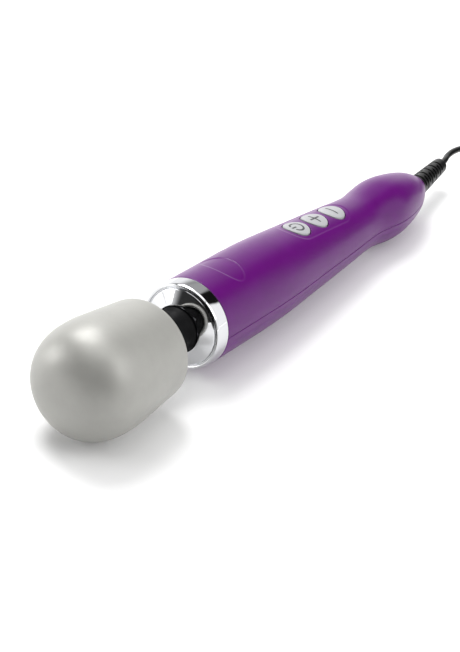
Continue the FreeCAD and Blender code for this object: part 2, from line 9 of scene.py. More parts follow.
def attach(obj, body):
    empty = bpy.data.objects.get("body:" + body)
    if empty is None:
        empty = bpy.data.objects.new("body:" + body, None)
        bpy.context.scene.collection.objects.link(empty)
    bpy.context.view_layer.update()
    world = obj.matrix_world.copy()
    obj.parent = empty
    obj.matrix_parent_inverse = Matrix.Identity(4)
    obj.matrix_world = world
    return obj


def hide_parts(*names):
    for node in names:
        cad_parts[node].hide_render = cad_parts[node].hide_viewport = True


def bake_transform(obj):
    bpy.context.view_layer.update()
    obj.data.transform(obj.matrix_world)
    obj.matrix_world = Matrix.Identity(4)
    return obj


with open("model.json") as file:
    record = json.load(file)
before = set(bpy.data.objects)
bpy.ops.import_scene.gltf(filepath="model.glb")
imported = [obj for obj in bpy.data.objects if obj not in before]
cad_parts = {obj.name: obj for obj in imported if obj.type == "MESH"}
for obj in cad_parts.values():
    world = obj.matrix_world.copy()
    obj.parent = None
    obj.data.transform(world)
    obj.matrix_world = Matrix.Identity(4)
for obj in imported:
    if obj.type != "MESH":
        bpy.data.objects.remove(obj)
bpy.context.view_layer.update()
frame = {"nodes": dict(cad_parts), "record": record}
MM = 0.001

# The wand is drawn in its own axes (mm): centreline along Y from the head's tip at Y = 0,
# buttons on the +Z side. LAID puts it down on its head and its tail bulge, in metres.
LEAN = math.radians(2.3806)
LAID_SHIFT = (0, -0.1938847, 0.0313954)
LAID = Matrix.Translation(LAID_SHIFT) @ Matrix.Rotation(-LEAN, 4, "X") @ Matrix.Scale(MM, 4)
AROUND = 96    # points round a ring, unless a piece needs more or fewer


def laid(x, y, z):
    return LAID @ Vector((x, y, z))


# ------------------------------------------------------------------ camera
CAMERA_PLACE = (0.41397, -0.74364, 0.49641)
CAMERA_TURN = (30.753, 31.186, 7.022)     # azimuth, elevation and roll in degrees
LENS, SENSOR_WIDTH, CLIP_END = 98.504, 36, 20


def add_camera():
    """Long lens, from the right of the head and above, rolled as the wand lies."""
    camera = bpy.data.objects.new("camera", bpy.data.cameras.new("camera"))
    bpy.context.scene.collection.objects.link(camera)
    camera.data.sensor_width = SENSOR_WIDTH
    camera.data.lens = LENS
    camera.data.clip_end = CLIP_END
    azimuth, elevation, roll = (math.radians(a) for a in CAMERA_TURN)
    camera.location = CAMERA_PLACE
    look = Matrix.Rotation(azimuth, 4, "Z") @ Matrix.Rotation(math.radians(90) - elevation, 4, "X")
    camera.rotation_euler = (look @ Matrix.Rotation(roll, 4, "Z")).to_euler()
    bpy.context.scene.camera = camera


# ------------------------------------------------------------------ small mesh helpers
def add_object(name, data, body=None, material=None, replaces=()):
    """Puts a piece in the scene, parents it to its body's empty, gives it its material and hides the
    CAD nodes it replaces.
    """
    piece = bpy.data.objects.new(name, data)
    bpy.context.scene.collection.objects.link(piece)
    if material:
        data.materials.append(material)
    if body:
        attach(piece, body)
    if replaces:
        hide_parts(*replaces)
    return piece


def grid_mesh(name, rows, closed_around=True):
    """Quads over rows of points; each row is one ring or strip. Points are in the wand's axes."""
    count = len(rows[0])
    points = [laid(*p) for row in rows for p in row]
    faces = []
    for i in range(len(rows) - 1):
        below, above = i * count, (i + 1) * count
        for j in range(count if closed_around else count - 1):
            k = (j + 1) % count
            faces.append((below + j, below + k, above + k, above + j))
    mesh = bpy.data.meshes.new(name)
    mesh.from_pydata(points, [], faces)
    for face in mesh.polygons:
        face.use_smooth = True
    return mesh


WELD_DISTANCE = 0.02 * MM


def weld(mesh):
    """Joins points that coincide, such as those of a ring shrunk to its middle."""
    work = bmesh.new()
    work.from_mesh(mesh)
    bmesh.ops.remove_doubles(work, verts=work.verts, dist=WELD_DISTANCE)
    bmesh.ops.recalc_face_normals(work, faces=work.faces)
    work.to_mesh(mesh)
    work.free()
    return mesh


def close_ends(mesh):
    """Fills a mesh's open ends and turns its faces outwards."""
    work = bmesh.new()
    work.from_mesh(mesh)
    bmesh.ops.holes_fill(work, edges=[e for e in work.edges if e.is_boundary], sides=0)
    bmesh.ops.recalc_face_normals(work, faces=work.faces)
    work.to_mesh(mesh)
    work.free()
    return mesh


def circle(r, around=AROUND):
    return [(r * math.cos(2 * math.pi * j / around), r * math.sin(2 * math.pi * j / around))
            for j in range(around)]


def spin_mesh(name, profile, around, place=None):
    """Surface of revolution of (Y, radius) points about the wand's centreline."""
    rows = []
    for y, r in profile:
        ring = [(a, y, b) for a, b in circle(r, around)]
        rows.append([place(p) for p in ring] if place else ring)
    return weld(grid_mesh(name, rows))


CORNER_SHARE = 0.45    # most of a run that one of its corners may take


def rounded(profile, radius, steps=4):
    """The same outline with each inner corner rounded, as far as its runs allow."""
    points = [Vector(p) for p in profile]
    result = [tuple(points[0])]
    for a, b, c in zip(points, points[1:], points[2:]):
        cut = min(radius, CORNER_SHARE * (a - b).length, CORNER_SHARE * (c - b).length)
        start, end = b + (a - b).normalized() * cut, b + (c - b).normalized() * cut
        for k in range(steps + 1):
            t = k / steps
            result.append(tuple((1 - t) ** 2 * start + 2 * t * (1 - t) * b + t * t * end))
    result.append(tuple(points[-1]))
    return result


# ------------------------------------------------------------------ materials
def new_material(name, base, rough, metallic=0.0):
    """A Principled material; returns it with its node tree, shader and object coordinates."""
    material = bpy.data.materials.new(name)
    material.use_nodes = True
    tree = material.node_tree
    shader = tree.nodes["Principled BSDF"]
    shader.inputs["Base Color"].default_value = (*base, 1)
    shader.inputs["Roughness"].default_value = rough
    shader.inputs["Metallic"].default_value = metallic
    coords = tree.nodes.new("ShaderNodeTexCoord")
    return material, tree, shader, coords


def noise(tree, coords, size_mm, detail=3.0):
    """Noise whose blotches are about size_mm across."""
    node = tree.nodes.new("ShaderNodeTexNoise")
    node.inputs["Scale"].default_value = 1 / (size_mm * MM)
    node.inputs["Detail"].default_value = detail
    node.inputs["Roughness"].default_value = 0.55
    tree.links.new(coords.outputs["Object"], node.inputs["Vector"])
    return node


def vary_colour(tree, shader, source, low, high):
    """Base colour that drifts from low to high with the noise."""
    ramp = tree.nodes.new("ShaderNodeValToRGB")
    for stop, place, colour in zip(ramp.color_ramp.elements, (0.35, 0.65), (low, high)):
        stop.position, stop.color = place, (*colour, 1)
    tree.links.new(source.outputs["Fac"], ramp.inputs["Fac"])
    tree.links.new(ramp.outputs["Color"], shader.inputs["Base Color"])


def vary_rough(tree, shader, source, low, high):
    """Roughness that drifts from low to high with the noise."""
    span = tree.nodes.new("ShaderNodeMapRange")
    span.inputs["From Min"].default_value, span.inputs["From Max"].default_value = 0.3, 0.7
    span.inputs["To Min"].default_value, span.inputs["To Max"].default_value = low, high
    tree.links.new(source.outputs["Fac"], span.inputs["Value"])
    tree.links.new(span.outputs["Result"], shader.inputs["Roughness"])


def add_bump(tree, shader, source, height_mm):
    bump = tree.nodes.new("ShaderNodeBump")
    bump.inputs["Distance"].default_value = height_mm * MM
    bump.inputs["Strength"].default_value = 1.0
    tree.links.new(source.outputs["Fac"], bump.inputs["Height"])
    tree.links.new(bump.outputs["Normal"], shader.inputs["Normal"])


def moulded(name, base, rough, grain_mm, grain_height, spread=0.12, rough_spread=0.06,
            metallic=0.0, gloss=0.5):
    """Moulded plastic, rubber or metal: fine grain in the bump, blotches in colour and gloss."""
    material, tree, shader, coords = new_material(name, base, rough, metallic)
    blotch = noise(tree, coords, 9.0)
    low, high = [c * (1 - spread) for c in base], [min(1, c * (1 + spread)) for c in base]
    vary_colour(tree, shader, blotch, low, high)
    vary_rough(tree, shader, noise(tree, coords, 3.0), rough - rough_spread, rough + rough_spread)
    add_bump(tree, shader, noise(tree, coords, grain_mm, 2.0), grain_height)
    shader.inputs["Specular IOR Level"].default_value = gloss
    return material


def black(name, base, rough, grain_mm, grain_height, gloss=0.16):
    """Deep black rubber or plastic with a weak gloss."""
    return moulded(name, base, rough, grain_mm, grain_height, gloss=gloss)


def turned(name, base, rough):
    """Machined metal: fine rings round the wand's axis."""
    material, tree, shader, coords = new_material(name, base, rough, 1.0)
    stretch = tree.nodes.new("ShaderNodeMapping")
    stretch.inputs["Scale"].default_value = (0.05, 1.0, 0.05)
    tree.links.new(coords.outputs["Object"], stretch.inputs["Vector"])
    lines = noise(tree, coords, 0.25, 2.0)
    tree.links.new(stretch.outputs["Vector"], lines.inputs["Vector"])
    vary_rough(tree, shader, lines, rough * 0.75, rough * 1.35)
    add_bump(tree, shader, lines, 0.006)
    return material


MATERIALS = {}


def make_materials():
    """A material for each of the record's slots by name, and one more for the relief."""
    # the purple's roughness stays at 0.29 or more: specks showed while it varied round 0.27
    purple = moulded("purple_plastic", (0.098, 0.0022, 0.136), 0.31, 0.6, 0.0006, 0.04,
                     rough_spread=0.02, gloss=0.27)
    silver = moulded("silver_silicone", (0.350, 0.347, 0.326), 0.44, 0.30, 0.0015, 0.02,
                     rough_spread=0.03, metallic=0.25)
    chrome, tree, shader, coords = new_material("chrome", (0.63, 0.635, 0.65), 0.06, 1.0)
    vary_rough(tree, shader, noise(tree, coords, 4.0), 0.03, 0.09)
    add_bump(tree, shader, noise(tree, coords, 1.4), 0.0015)
    MATERIALS.update({
        "purple_plastic": purple, "silver_silicone": silver, "chrome": chrome,
        "black_rubber": black("black_rubber", (0.003, 0.003, 0.0035), 0.50, 0.30, 0.002, 0.07),
        "relief_rubber": black("relief_rubber", (0.002, 0.002, 0.0025), 0.345, 0.30, 0.002, 0.22),
        "cord_black": black("cord_black", (0.002, 0.002, 0.0025), 0.345, 0.45, 0.002, 0.22),
        "tie_black": moulded("tie_black", (0.014, 0.014, 0.014), 0.55, 0.30, 0.010),
        "black_plastic": black("black_plastic", (0.006, 0.006, 0.0065), 0.45, 0.40, 0.006),
        "grey_button": moulded("grey_button", (0.355, 0.36, 0.372), 0.36, 0.25, 0.002, 0.03),
        "dark_ink": moulded("dark_ink", (0.035, 0.035, 0.04), 0.50, 0.20, 0.003),
        "carbon": moulded("carbon", (0.03, 0.03, 0.03), 0.60, 0.15, 0.006),
        "magnet_iron": moulded("magnet_iron", (0.05, 0.05, 0.055), 0.55, 0.30, 0.01,
                               metallic=0.6),
        "board_green": moulded("board_green", (0.01, 0.10, 0.04), 0.32, 0.60, 0.006),
        "capacitor_black": moulded("capacitor_black", (0.015, 0.015, 0.02), 0.35, 0.5, 0.003),
        "terminal_white": moulded("terminal_white", (0.70, 0.70, 0.66), 0.40, 0.5, 0.004),
        "wire_red": moulded("wire_red", (0.40, 0.015, 0.012), 0.38, 0.5, 0.003),
        "screw_steel": turned("screw_steel", (0.50, 0.50, 0.52), 0.28),
        "bearing_steel": turned("bearing_steel", (0.60, 0.60, 0.62), 0.18),
        "shaft_steel": turned("shaft_steel", (0.48, 0.48, 0.50), 0.30),
        "weight_steel": turned("weight_steel", (0.30, 0.30, 0.31), 0.42),
        "brass": turned("brass", (0.70, 0.50, 0.20), 0.30),
        "copper": turned("copper", (0.70, 0.30, 0.14), 0.32),
    })


def dress_cad_nodes():
    """Every CAD node gets its slot's material; most are sealed inside the wand."""
    for part in frame["record"]["subparts"]:
        mesh = frame["nodes"][part["node"]].data
        mesh.materials.clear()
        mesh.materials.append(MATERIALS[part["material_slot"]])
        for face in mesh.polygons:
            face.use_smooth = True
        mesh.set_sharp_from_angle(angle=math.radians(30))


# ------------------------------------------------------------------ cord, coil and plug
CORD_R = 1.9
COIL_X, COIL_Y, COIL_MID_R = 10.0, 280.0, 21.0
COIL_ROWS, COIL_LAYERS = 3, 4
TURN_POINTS = 16
FIRST_Z = 2.7
PLUG_X, PLUG_Y, PLUG_Z = -14.0, 345.0, 5.2
PLUG_AROUND = 48
CORD_EXIT = (-5.6779, 193.9082, 15.2736)
CORD_OUT = (-0.1305, 0.9906, -0.0412)      # direction in which it leaves the relief
SWAP_START = 0.7    # share of a turn after which the cord moves over to its next turn
CORNER_GAIN = 1.01  # the curve runs a little inside its points, so they stand out by this


def coil_points():
    """Turns wound outside to inside and back, layer on layer; starts and ends on the -X side."""
    outermost = COIL_MID_R + (COIL_ROWS - 1) * CORD_R
    radii = [outermost - 2 * CORD_R * row for row in range(COIL_ROWS)]
    turns = []
    for layer in range(COIL_LAYERS):
        for r in (radii if layer % 2 == 0 else radii[::-1]):
            turns.append((r, FIRST_Z + 2 * CORD_R * layer))
    points = []
    for i, (r, z) in enumerate(turns):
        next_r, next_z = turns[min(i + 1, len(turns) - 1)]
        for k in range(TURN_POINTS):
            share = max(0.0, (k / TURN_POINTS - SWAP_START) / (1 - SWAP_START))
            here_r = (r + (next_r - r) * share) * CORNER_GAIN
            angle = math.pi - 2 * math.pi * k / TURN_POINTS
            points.append((COIL_X + here_r * math.cos(angle), COIL_Y + here_r * math.sin(angle),
                           z + (next_z - z) * share))
    return points


def add_cord():
    """Free cord from the relief's tip down to the floor, round the coil and on to the plug."""
    side_x = COIL_X - COIL_MID_R - (COIL_ROWS - 1) * CORD_R
    top_z = FIRST_Z + (COIL_LAYERS - 1) * 2 * CORD_R
    straight_end = tuple(Vector(CORD_EXIT) + Vector(CORD_OUT) * 9)
    route = [CORD_EXIT, straight_end, (-10.1, 211.7, 13.9), (-11.4, 223.7, 12.9),
             (-12.2, 237.2, 9.9), (-13.4, 250.7, 5.2), (-15.2, 263.7, FIRST_Z),
             (side_x, COIL_Y - 5.0, FIRST_Z)]
    route += coil_points()
    route += [(side_x, COIL_Y + 5.0, top_z), (side_x, COIL_Y + 14.0, top_z - 0.3),
              (-15.2, COIL_Y + 25.0, 9.4), (-15.4, COIL_Y + 36.0, 3.8),
              (-15.0, COIL_Y + 47.0, CORD_R + 0.1), (-14.4, COIL_Y + 58.0, 4.0),
              (PLUG_X, PLUG_Y, PLUG_Z)]
    curve = bpy.data.curves.new("cord", "CURVE")
    curve.dimensions = "3D"
    curve.bevel_depth = CORD_R * MM
    curve.bevel_resolution = 6
    spline = curve.splines.new("NURBS")
    spline.points.add(len(route) - 1)
    for point, place in zip(spline.points, route):
        point.co = (*(Vector(place) * MM), 1)
    spline.order_u = 3
    spline.use_endpoint_u = True
    spline.resolution_u = 8
    cord = add_object("cord", curve, "handle", MATERIALS["cord_black"],
                      ["supply_cord", "cord_coil", "cord_tail"])
    grip, barrel = add_plug()


def add_plug():
    """Moulded grip with finger ribs, and a metal barrel with its insulated bore."""
    unlaid = LAID.inverted()

    def lie(p):
        return tuple(unlaid @ (Vector((PLUG_X + p[0], PLUG_Y + p[1], PLUG_Z + p[2])) * MM))

    ribs = []
    for i in range(5):
        y = 12.0 + 2.2 * i
        ribs += [(y, 5.15), (y + 0.5, 4.7), (y + 1.0, 4.7), (y + 1.5, 5.15)]
    grip = [(0.0, 1.85), (0.0, 2.6), (6.5, 3.2), (9.0, 5.15)] + ribs
    grip += [(25.2, 5.15), (26.0, 4.4), (26.0, 2.7)]
    barrel = [(25.0, 2.75), (35.0, 2.75), (35.5, 2.35), (35.5, 1.2), (35.0, 1.05),
              (26.5, 1.05), (26.5, 0.0)]
    grip = spin_mesh("plug_grip_moulding", rounded(grip, 0.4), PLUG_AROUND, lie)
    grip = add_object("plug_grip_moulding", grip, "handle",
                      MATERIALS["black_rubber"], ["plug_grip"])
    barrel = spin_mesh("plug_barrel_turned", rounded(barrel, 0.2), PLUG_AROUND, lie)
    barrel = add_object("plug_barrel_turned", barrel, "handle",
                        MATERIALS["chrome"], ["plug_barrel"])
    return grip, barrel


# ------------------------------------------------------------------ head and neck
HEAD_R, HEAD_NOSE, NOSE_POWER, HEAD_BELT = 30.0, 29.0, 2.5, 4.0
HEAD_REAR_R, HEAD_LEN, HEAD_CORNER, LIP_R = 26.8, 70.6, 6.5, 23.6


HEAD_AROUND, NOSE_STEPS = 144, 40


def add_head():
    """Soft cover: blunt nose, short belt, tapering back to a rounded rear edge and a lip."""
    profile = []
    for i in range(NOSE_STEPS + 1):
        s = math.sin(math.pi / 2 * i / NOSE_STEPS)
        profile.append((HEAD_NOSE * (1 - (1 - s ** NOSE_POWER) ** (1 / NOSE_POWER)), HEAD_R * s))
    profile.append((HEAD_NOSE + HEAD_BELT, HEAD_R))
    centre = (HEAD_LEN - HEAD_CORNER, HEAD_REAR_R - HEAD_CORNER)
    for i in range(5, 54, 4):
        a = math.radians(i)
        profile.append((centre[0] + HEAD_CORNER * math.sin(a), centre[1] + HEAD_CORNER * math.cos(a)))
    profile += [(HEAD_LEN - 1.3, LIP_R + 0.25), (HEAD_LEN - 1.55, LIP_R), (HEAD_LEN - 2.2, LIP_R),
                (HEAD_LEN - 5.8, LIP_R)]
    add_object("head_skin", spin_mesh("head_skin", profile, HEAD_AROUND), "head",
               MATERIALS["silver_silicone"], ["head_cover"])


NECK_MID_Y, BOOT_BORE_R, BOOT_STEP = 82.5, 8.9, 0.7


def add_neck():
    """Rubber boot in two lengths, one each side of the middle where the neck bends."""
    front = [(67.7, BOOT_BORE_R), (67.7, 11.6), (72.0, 11.2), (75.0, 10.75), (78.0, 10.6),
             (NECK_MID_Y, 10.6), (NECK_MID_Y, BOOT_BORE_R)]
    back = [(NECK_MID_Y, BOOT_BORE_R), (NECK_MID_Y, 10.6), (86.5, 10.6), (90.0, 10.75), (92.0, 11.2),
            (93.2, 12.2), (96.0, 12.2), (96.05, 15.1), (98.5, 15.1), (98.5, BOOT_BORE_R)]

    def dense(profile):
        points = []
        for (y0, r0), (y1, r1) in zip(profile, profile[1:]):
            steps = max(1, int(abs(y1 - y0) / BOOT_STEP))
            points += [(y0 + (y1 - y0) * k / steps, r0 + (r1 - r0) * k / steps)
                       for k in range(steps)]
        return points + [profile[-1]]

    halves = (("neck_boot_front", front, ("head", "neck_mid"), (77.5, NECK_MID_Y)),
              ("neck_boot_back", back, ("neck_mid", "handle"), (NECK_MID_Y, 89.0)))
    for name, profile, bodies, ys in halves:
        piece = add_object(name, spin_mesh(name, dense(profile), AROUND), None,
                           MATERIALS["black_rubber"], ["neck_boot"])
        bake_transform(piece)


# ------------------------------------------------------------------ collar
COLLAR_AROUND = 192


def add_collar():
    """Chrome ring: tapering band, bright lip, narrow groove and a cone down to the neck."""
    profile = [(106.0, 21.2), (106.0, 23.75), (99.0, 23.05), (97.9, 22.6), (97.9, 21.5),
               (98.9, 21.3), (98.9, 20.8), (97.8, 20.5), (94.6, 13.6), (94.3, 12.7),
               (95.0, 12.5), (96.0, 12.5)]
    ring = spin_mesh("collar_chrome", rounded(profile, 0.45, 5), COLLAR_AROUND)
    add_object("collar_chrome", ring, "handle", MATERIALS["chrome"], ["collar_ring"])


# ------------------------------------------------------------------ handle shells
OUTLINE = [(106, 23.8), (136, 23.8), (168, 23.4), (202, 21.3), (232, 19.3), (256, 17.55),
           (275, 16.7), (298, 18.9), (317, 17.0), (334, 12.4), (344.5, 7.4)]
SHELL_START_Y, SHELL_END_Y = 106.0, 344.5
SHELL_WALL = 2.2
RELIEF_HOLE_R = 6.7
SEAM_ROUND = 0.5
PANEL_HALF_X, PANEL_Y, PANEL_DEPTH = 10.4, (191.5, 251.5), 0.22
BADGE_Y, BADGE_HALF_X, BADGE_HALF_Y, BADGE_DEPTH = 131.0, 13.0, 7.5, 0.3
BUTTON_YS = {"power": 202.7, "plus": 221.6, "minus": 240.5}
BUTTON_R, WELL_R, WELL_ROUND, CAP_PROUD = 7.65, 8.2, 0.3, 0.15
SHELL_SCREWS = [(14.0, 182.0), (-14.0, 182.0), (8.6, 276.0), (-8.6, 276.0)]
SCREW_WELL_R = 3.1
BUTTON_WELL_DEPTH, SCREW_WELL_DEPTH = 2.6, 4.4
CUT_TOP, CUT_BOTTOM = (5, 30), (-30, -3)   # heights between which the wells are cut
PANEL_EDGE, BADGE_EDGE = 0.5, 0.45         # half widths of their sloping edges


def spline_slopes(points):
    """Slopes of the smooth curve through the outline's points (natural ends)."""
    count = len(points)
    upper, right = [0.5] * count, [0.0] * count
    steps = [b[0] - a[0] for a, b in zip(points, points[1:])]
    rises = [(b[1] - a[1]) / (b[0] - a[0]) for a, b in zip(points, points[1:])]
    right[0] = 1.5 * rises[0]
    for i in range(1, count):
        before = 1 / steps[i - 1]
        after = 1 / steps[i] if i < count - 1 else 0.0
        pull = 3 * (rises[i - 1] * before + (rises[i] * after if after else 0.0))
        pivot = 2 * (before + after) - before * upper[i - 1]
        upper[i] = after / pivot
        right[i] = (pull - before * right[i - 1]) / pivot
    slopes = [0.0] * count
    slopes[-1] = right[-1]
    for i in range(count - 2, -1, -1):
        slopes[i] = right[i] - upper[i] * slopes[i + 1]
    return slopes


SLOPES = spline_slopes(OUTLINE)


def handle_r(y):
    """Radius of the handle at a station along it."""
    y = min(max(y, OUTLINE[0][0]), OUTLINE[-1][0])
    i = max(k for k in range(len(OUTLINE) - 1) if OUTLINE[k][0] <= y)
    (y0, r0), (y1, r1) = OUTLINE[i], OUTLINE[i + 1]
    step = y1 - y0
    t = (y - y0) / step
    return ((1 + 2 * t) * (1 - t) ** 2 * r0 + t * (1 - t) ** 2 * step * SLOPES[i]
            + t * t * (3 - 2 * t) * r1 + t * t * (t - 1) * step * SLOPES[i + 1])


def soft_step(value, width):
    """0 below -width, 1 above width, smooth between."""
    t = min(max((value + width) / (2 * width), 0.0), 1.0)
    return t * t * (3 - 2 * t)


def top_relief(x, y):
    """How far the button panel and the plain badge lie below the handle's outline."""
    mid, reach = sum(PANEL_Y) / 2, (PANEL_Y[1] - PANEL_Y[0]) / 2 - PANEL_HALF_X
    to_panel = PANEL_HALF_X - math.hypot(x, max(0.0, abs(y - mid) - reach))
    to_badge = (1 - math.hypot(x / BADGE_HALF_X, (y - BADGE_Y) / BADGE_HALF_Y)) * BADGE_HALF_Y
    return PANEL_DEPTH * soft_step(to_panel, PANEL_EDGE) + BADGE_DEPTH * soft_step(to_badge, BADGE_EDGE)


def top_z(x, y):
    """Height of the upper shell's surface over a point near the top of the handle."""
    return math.sqrt((handle_r(y) - top_relief(x, y)) ** 2 - x * x)


def shell_rows():
    """Stations along the handle: close together over the badge, the panel and both ends."""
    ys = [SHELL_START_Y, 106.08, 106.2, 106.4, 106.8]
    while ys[-1] < 344.0:
        y = ys[-1]
        fine = 121 < y < 141 or 189 < y < 254
        ys.append(y + (0.45 if fine else 1.3 if y < 325 else 0.8))
    return [y for y in ys if y < 343.9] + [344.1, 344.3, 344.42, SHELL_END_Y]


def shell_angles():
    """Degrees from the shell's crown to its edges, close together at the edges and the crown."""
    edge = [90 - a for a in (0.0, 0.12, 0.3, 0.55, 0.9, 1.5)]
    half, angle = [], 0.0
    while angle < 88:
        half.append(angle)
        angle += 0.9 if angle < 40 else 2.0
    half += edge[::-1]
    return [-a for a in half[:0:-1]] + half


def end_round(y):
    """Rounding of the shell's rims at the collar and at the tail, as a drop in radius."""
    drop = 0.0
    for gap in (y - SHELL_START_Y, SHELL_END_Y - y):
        if gap < SEAM_ROUND:
            drop += SEAM_ROUND - math.sqrt(SEAM_ROUND ** 2 - (SEAM_ROUND - gap) ** 2)
    return drop


def shell_mesh(name, upper):
    """Closed shell half: outer face with its details, inner face, rounded seam edges."""
    outer, inner = [], []
    for y in shell_rows():
        r = handle_r(y) - end_round(y)
        out_row, in_row = [], []
        for angle in shell_angles():
            a = math.radians(angle)
            gap = r * (math.pi / 2 - abs(a))
            drop = 0.0
            if gap < SEAM_ROUND:
                drop = SEAM_ROUND - math.sqrt(max(0.0, SEAM_ROUND ** 2 - (SEAM_ROUND - gap) ** 2))
            x, side = r * math.sin(a), 1 if upper else -1
            here = r - drop - (top_relief(x, y) if upper and abs(angle) < 60 else 0.0)
            deep = max(r - SHELL_WALL, RELIEF_HOLE_R)
            out_row.append((here * math.sin(a), y, side * here * math.cos(a)))
            in_row.append((deep * math.sin(a), y, side * deep * math.cos(a)))
        outer.append(out_row)
        inner.append(in_row)
    # one closed skin: round the outside, over each seam edge, back along the inside
    rings = [out_row + in_row[::-1] for out_row, in_row in zip(outer, inner)]
    return close_ends(grid_mesh(name, rings))


def upright_mesh(name, x, y, z0, z1, r):
    """Closed upright cylinder, for cutting wells."""
    rows = [[(x + a, y + b, z) for a, b in circle(r)] for z in (z0, z1)]
    return close_ends(grid_mesh(name, rows))


def cut_wells(piece, wells):
    """Cuts round wells (x, y, z0, z1, r) out of a piece, then drops the cutters."""
    for i, well in enumerate(wells):
        cutter = bpy.data.objects.new(f"cutter_{i}", upright_mesh(f"cutter_{i}", *well))
        bpy.context.scene.collection.objects.link(cutter)
        cut = piece.modifiers.new(f"well_{i}", "BOOLEAN")
        cut.operation, cut.solver, cut.object = "DIFFERENCE", "EXACT", cutter
        bpy.context.view_layer.update()
        evaluated = piece.evaluated_get(bpy.context.evaluated_depsgraph_get())
        result = bpy.data.meshes.new_from_object(evaluated)
        piece.modifiers.clear()
        old = piece.data
        piece.data = result
        bpy.data.meshes.remove(old)
        mesh = cutter.data
        bpy.data.objects.remove(cutter)
        bpy.data.meshes.remove(mesh)
    piece.data.set_sharp_from_angle(angle=math.radians(40))


def add_shells():
    """Upper shell with its button wells, lower shell with its screw wells, and their rims."""
    purple = MATERIALS["purple_plastic"]
    top = add_object("shell_top_skin", shell_mesh("shell_top_skin", True), "handle",
                     purple, ["shell_top"])
    cut_wells(top, [(0, y, *CUT_TOP, WELL_R + WELL_ROUND) for y in BUTTON_YS.values()])
    bottom = add_object("shell_bottom_skin", shell_mesh("shell_bottom_skin", False), "handle",
                        purple, ["shell_bottom"])
    cut_wells(bottom, [(x, y, *CUT_BOTTOM, SCREW_WELL_R + WELL_ROUND) for x, y in SHELL_SCREWS])
    for name, y in BUTTON_YS.items():
        add_well_rim(f"{name}_well", 0, y, WELL_R, top_z, 1, BUTTON_WELL_DEPTH)
    for i, (x, y) in enumerate(SHELL_SCREWS):
        add_well_rim(f"screw_well_{i}", x, y, SCREW_WELL_R, plain_z, -1, SCREW_WELL_DEPTH)


def plain_z(x, y):
    """Height of the handle's surface where it has no panel or badge."""
    return math.sqrt(handle_r(y) ** 2 - x * x)


def quarter(r, round_r, start, side):
    """Quarter round every 15 degrees as (radius, drop); side is 1 for a rim, -1 for a cap."""
    result = []
    for degrees in range(start, 91, 15):
        a = math.radians(degrees)
        result.append((r + side * (round_r * (1 - math.sin(a))), round_r * (1 - math.cos(a))))
    return result


def add_well_rim(name, x, y, r, height, side, depth):
    """Rounded rim of a round well and its wall, in the shell's plastic."""
    rows = []
    for ring_r, drop in quarter(r, WELL_ROUND, 0, 1) + [(r, depth)]:
        ring = [(x + a, y + b) for a, b in circle(ring_r)]
        rows.append([(px, py, side * (height(px, py) - drop)) for px, py in ring])
    add_object(name, weld(grid_mesh(name, rows)), "handle",
               MATERIALS["purple_plastic"])


# ------------------------------------------------------------------ buttons
CAP_ROUND, CAP_DEPTH, CAP_RINGS, FLAT_SHARE = 0.55, 2.4, 12, 0.93
SIGN_WIDTH, SIGN_PROUD = 1.2, 0.03
POWER_RING_R, POWER_BAR, BAR_HALF = 3.9, (-4.6, -0.6), 4.2


def cap_z(x, y):
    """Height of a button's face: the handle's outline, a little proud."""
    return math.sqrt((handle_r(y) + CAP_PROUD) ** 2 - x * x)


def cap_mesh(name, y):
    """Round cap: face, rounded edge and wall."""
    levels = [(BUTTON_R * k / CAP_RINGS * FLAT_SHARE, 0.0) for k in range(CAP_RINGS + 1)]
    levels += quarter(BUTTON_R, CAP_ROUND, 15, -1) + [(BUTTON_R, CAP_DEPTH)]
    rows = [[(a, y + b, cap_z(a, y + b) - drop) for a, b in circle(ring_r)]
            for ring_r, drop in levels]
    return weld(grid_mesh(name, rows))


def strip(name, centre_y, path, width):
    """Printed line of a given width along a path of (x, y) points, laid on a button's face."""
    rows = []
    for i, p in enumerate(path):
        a, b = Vector(path[max(i - 1, 0)]), Vector(path[min(i + 1, len(path) - 1)])
        side = (b - a).normalized().orthogonal() * width / 2
        row = []
        for t in (-1, -0.5, 0, 0.5, 1):
            q = Vector(p) + side * t
            row.append((q.x, centre_y + q.y, cap_z(q.x, centre_y + q.y) + SIGN_PROUD))
        rows.append(row)
    return grid_mesh(name, rows, closed_around=False)


def join_meshes(name, meshes):
    work = bmesh.new()
    for mesh in meshes:
        work.from_mesh(mesh)
        bpy.data.meshes.remove(mesh)
    result = bpy.data.meshes.new(name)
    work.to_mesh(result)
    work.free()
    return result


def run(a, b):
    """Points along a straight line, close enough to follow a button's face."""
    count = 14
    return [(a[0] + (b[0] - a[0]) * k / count, a[1] + (b[1] - a[1]) * k / count)
            for k in range(count + 1)]


def add_buttons():
    """Three caps with their signs: a power ring, a plus and a minus."""
    for name, y in BUTTON_YS.items():
        body = f"{name}_key"
        add_object(f"{name}_cap", cap_mesh(f"{name}_cap", y), body,
                   MATERIALS["grey_button"], [f"{name}_button"])
        if name == "power":
            turns = [math.radians(a) for a in range(28, 333, 8)]
            ring = [(POWER_RING_R * math.sin(a), -POWER_RING_R * math.cos(a)) for a in turns]
            lines = [ring, run((0, POWER_BAR[0]), (0, POWER_BAR[1]))]
        else:
            lines = [run((-BAR_HALF, 0), (BAR_HALF, 0))]
            if name == "plus":
                lines.append(run((0, -BAR_HALF), (0, BAR_HALF)))
        meshes = [strip(f"{name}_line_{i}", y, path, SIGN_WIDTH) for i, path in enumerate(lines)]
        add_object(f"{name}_sign", join_meshes(f"{name}_sign", meshes), body,
                   MATERIALS["dark_ink"], [f"{name}_symbol"])


